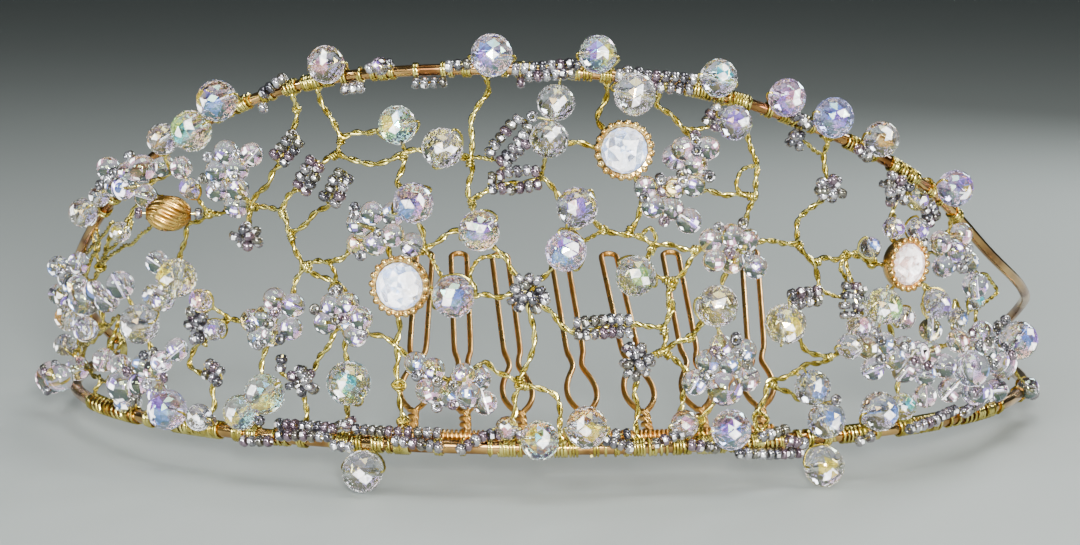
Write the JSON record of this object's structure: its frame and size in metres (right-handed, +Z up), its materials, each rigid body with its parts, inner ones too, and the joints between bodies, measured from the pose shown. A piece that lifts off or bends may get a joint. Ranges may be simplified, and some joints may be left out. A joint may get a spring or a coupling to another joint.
{
  "type": "tiara",
  "caption": "Tiara of twisted gold wire between two gilt rails on a half oval, with faceted crystals, bubble clusters, cut stones in cups and a wire hair comb.",
  "frame": {"origin": "on the surface that the tiara rests on, under the middle of its outline seen from above", "axes": "+X to the viewer's right, +Y from the front of the band to its open back, +Z up"},
  "size_m": [0.1562, 0.0958, 0.0637],
  "materials": {
    "rail_gilt": "satin gilt, browned in the recesses",
    "bright_gold": "bright gold plate",
    "comb_gilt": "orange brown gilt",
    "cut_crystal": "faceted clear glass with an iridescent coating",
    "bubble_glass": "clear glass balls with an iridescent coating",
    "stone_in_cup": "foil-backed cut stone in a beaded gold cup",
    "seed_silver": "dark silver-lined seed beads"
  },
  "bodies": {
    "root": {"base_rail": "rail_gilt", "cluster_01": "bubble_glass", "cluster_02": "bubble_glass", "cluster_03": "bubble_glass", "cluster_04": "bubble_glass", "cluster_05": "bubble_glass", "cluster_06": "bubble_glass", "cluster_07": "bubble_glass", "cluster_08": "bubble_glass", "cluster_09": "bubble_glass", "cluster_10": "bubble_glass", "cluster_11": "bubble_glass", "cluster_12": "bubble_glass", "cluster_13": "bubble_glass", "cluster_14": "bubble_glass", "cluster_15": "bubble_glass", "comb": "comb_gilt", "crystal_base_1": "cut_crystal", "crystal_base_2": "cut_crystal", "crystal_base_3": "cut_crystal", "crystal_base_4": "cut_crystal", "crystal_base_5": "cut_crystal", "crystal_base_6": "cut_crystal", "crystal_base_7": "cut_crystal", "crystal_net_1": "cut_crystal", "crystal_net_10": "cut_crystal", "crystal_net_11": "cut_crystal", "crystal_net_12": "cut_crystal", "crystal_net_13": "cut_crystal", "crystal_net_14": "cut_crystal", "crystal_net_15": "cut_crystal", "crystal_net_2": "cut_crystal", "crystal_net_3": "cut_crystal", "crystal_net_4": "cut_crystal", "crystal_net_5": "cut_crystal", "crystal_net_6": "cut_crystal", "crystal_net_7": "cut_crystal", "crystal_net_8": "cut_crystal", "crystal_net_9": "cut_crystal", "crystal_pair_1": "cut_crystal", "crystal_pair_2": "cut_crystal", "crystal_pair_3": "cut_crystal", "crystal_top_1": "cut_crystal", "crystal_top_10": "cut_crystal", "crystal_top_11": "cut_crystal", "crystal_top_2": "cut_crystal", "crystal_top_3": "cut_crystal", "crystal_top_4": "cut_crystal", "crystal_top_5": "cut_crystal", "crystal_top_6": "cut_crystal", "crystal_top_7": "cut_crystal", "crystal_top_8": "cut_crystal", "crystal_top_9": "cut_crystal", "fluted_bead": "bright_gold", "stone_1": "stone_in_cup", "stone_2": "stone_in_cup", "stone_3": "stone_in_cup", "top_rail": "rail_gilt", "wire_net": "bright_gold"}
  },
  "joints": []
}
